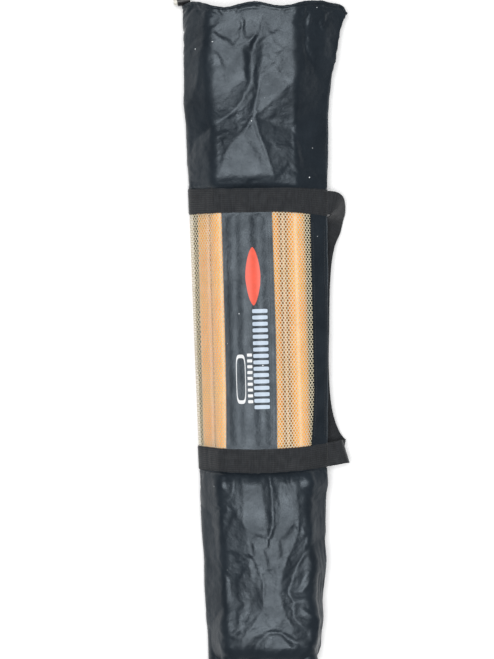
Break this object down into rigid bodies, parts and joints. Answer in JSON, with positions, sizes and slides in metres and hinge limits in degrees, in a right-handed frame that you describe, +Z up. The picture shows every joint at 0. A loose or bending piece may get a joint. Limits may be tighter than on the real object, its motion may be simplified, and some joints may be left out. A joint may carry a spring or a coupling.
{
  "type": "training pole carry bag",
  "caption": "Long black drawcord bag of coated fabric with net windows, webbing bands and a carry strap, packed with orange spiked plastic training poles.",
  "frame": {"origin": "on the flat underside, on the long centre line, midway along the window section", "axes": "+Y runs along the bag towards its open mouth, +Z is up as it lies on its back, +X runs across towards the side seam and strap"},
  "size_m": [0.2807, 1.148, 0.0696],
  "materials": {
    "coated_fabric": "glossy coated weave",
    "webbing": "matt woven",
    "net": "warp-knit net",
    "cord": "braided",
    "pole_plastic": "smooth extruded",
    "black_plastic": "moulded",
    "pale_plastic": "moulded",
    "steel": "turned"
  },
  "bodies": {
    "bag": {"upper_front_panel": "coated_fabric", "upper_back_panel": "coated_fabric", "centre_panel": "coated_fabric", "side_panel": "coated_fabric", "back_panel": "coated_fabric", "mesh_left": "net", "mesh_right": "net", "lower_front_panel": "coated_fabric", "lower_back_panel": "coated_fabric", "foot_binding": "webbing", "mouth_hem": "coated_fabric", "webbing_band_upper": "webbing", "webbing_band_lower": "webbing", "drawcord": "cord", "cord_end": "black_plastic"},
    "pole_1": {"pole_1_tube": "pole_plastic", "pole_1_end_cap": "black_plastic", "pole_1_spike_socket": "black_plastic", "pole_1_spike": "steel"},
    "pole_2": {"pole_2_tube": "pole_plastic", "pole_2_end_cap": "black_plastic", "pole_2_spike_socket": "black_plastic", "pole_2_spike": "steel"},
    "pole_3": {"pole_3_tube": "pole_plastic", "pole_3_end_cap": "black_plastic", "pole_3_spike_socket": "black_plastic", "pole_3_spike": "steel"},
    "pole_4": {"pole_4_tube": "pole_plastic", "pole_4_end_cap": "black_plastic", "pole_4_spike_socket": "black_plastic", "pole_4_spike": "steel"},
    "pole_5": {"pole_5_tube": "pole_plastic", "pole_5_end_cap": "black_plastic", "pole_5_spike_socket": "black_plastic", "pole_5_spike": "steel"},
    "pole_6": {"pole_6_tube": "pole_plastic", "pole_6_end_cap": "black_plastic", "pole_6_spike_socket": "black_plastic", "pole_6_spike": "steel"},
    "pole_7": {"pole_7_tube": "pole_plastic", "pole_7_end_cap": "black_plastic", "pole_7_spike_socket": "black_plastic", "pole_7_spike": "steel"},
    "pole_8": {"pole_8_tube": "pole_plastic", "pole_8_end_cap": "black_plastic", "pole_8_spike_socket": "black_plastic", "pole_8_spike": "steel"},
    "strap": {"carry_strap": "webbing"},
    "cord_lock": {"lock_barrel": "black_plastic", "lock_spring": "steel"},
    "lock_button": {"lock_plunger": "pale_plastic"}
  },
  "joints": [
    {"name": "pole_1_slide", "type": "slide", "parent": "bag", "child": "pole_1", "axis": [0, 1, 0], "range_m": [0, 1.04]},
    {"name": "pole_2_slide", "type": "slide", "parent": "bag", "child": "pole_2", "axis": [0, 1, 0], "range_m": [0, 1.04]},
    {"name": "pole_3_slide", "type": "slide", "parent": "bag", "child": "pole_3", "axis": [0, 1, 0], "range_m": [0, 1.04]},
    {"name": "pole_4_slide", "type": "slide", "parent": "bag", "child": "pole_4", "axis": [0, 1, 0], "range_m": [0, 1.04]},
    {"name": "pole_5_slide", "type": "slide", "parent": "bag", "child": "pole_5", "axis": [0, 1, 0], "range_m": [0, 1.04]},
    {"name": "pole_6_slide", "type": "slide", "parent": "bag", "child": "pole_6", "axis": [0, 1, 0], "range_m": [0, 1.04]},
    {"name": "pole_7_slide", "type": "slide", "parent": "bag", "child": "pole_7", "axis": [0, 1, 0], "range_m": [0, 1.04]},
    {"name": "pole_8_slide", "type": "slide", "parent": "bag", "child": "pole_8", "axis": [0, 1, 0], "range_m": [0, 1.04]},
    {"name": "strap_swing", "type": "hinge", "parent": "bag", "child": "strap", "pos_m": [0.1077, 0, 0.04], "axis": [-0.0243, -0.9997, 0], "range_deg": [0, 105]},
    {"name": "lock_slide", "type": "slide", "parent": "bag", "child": "cord_lock", "axis": [-0.1724, 0.9775, -0.1219], "range_m": [0, 0.07]},
    {"name": "button_press", "type": "slide", "parent": "cord_lock", "child": "lock_button", "axis": [0.9848, 0.1736, 0], "range_m": [0, 0.004], "stiffness_N_per_m": 150, "deforming": ["lock_spring"]}
  ]
}
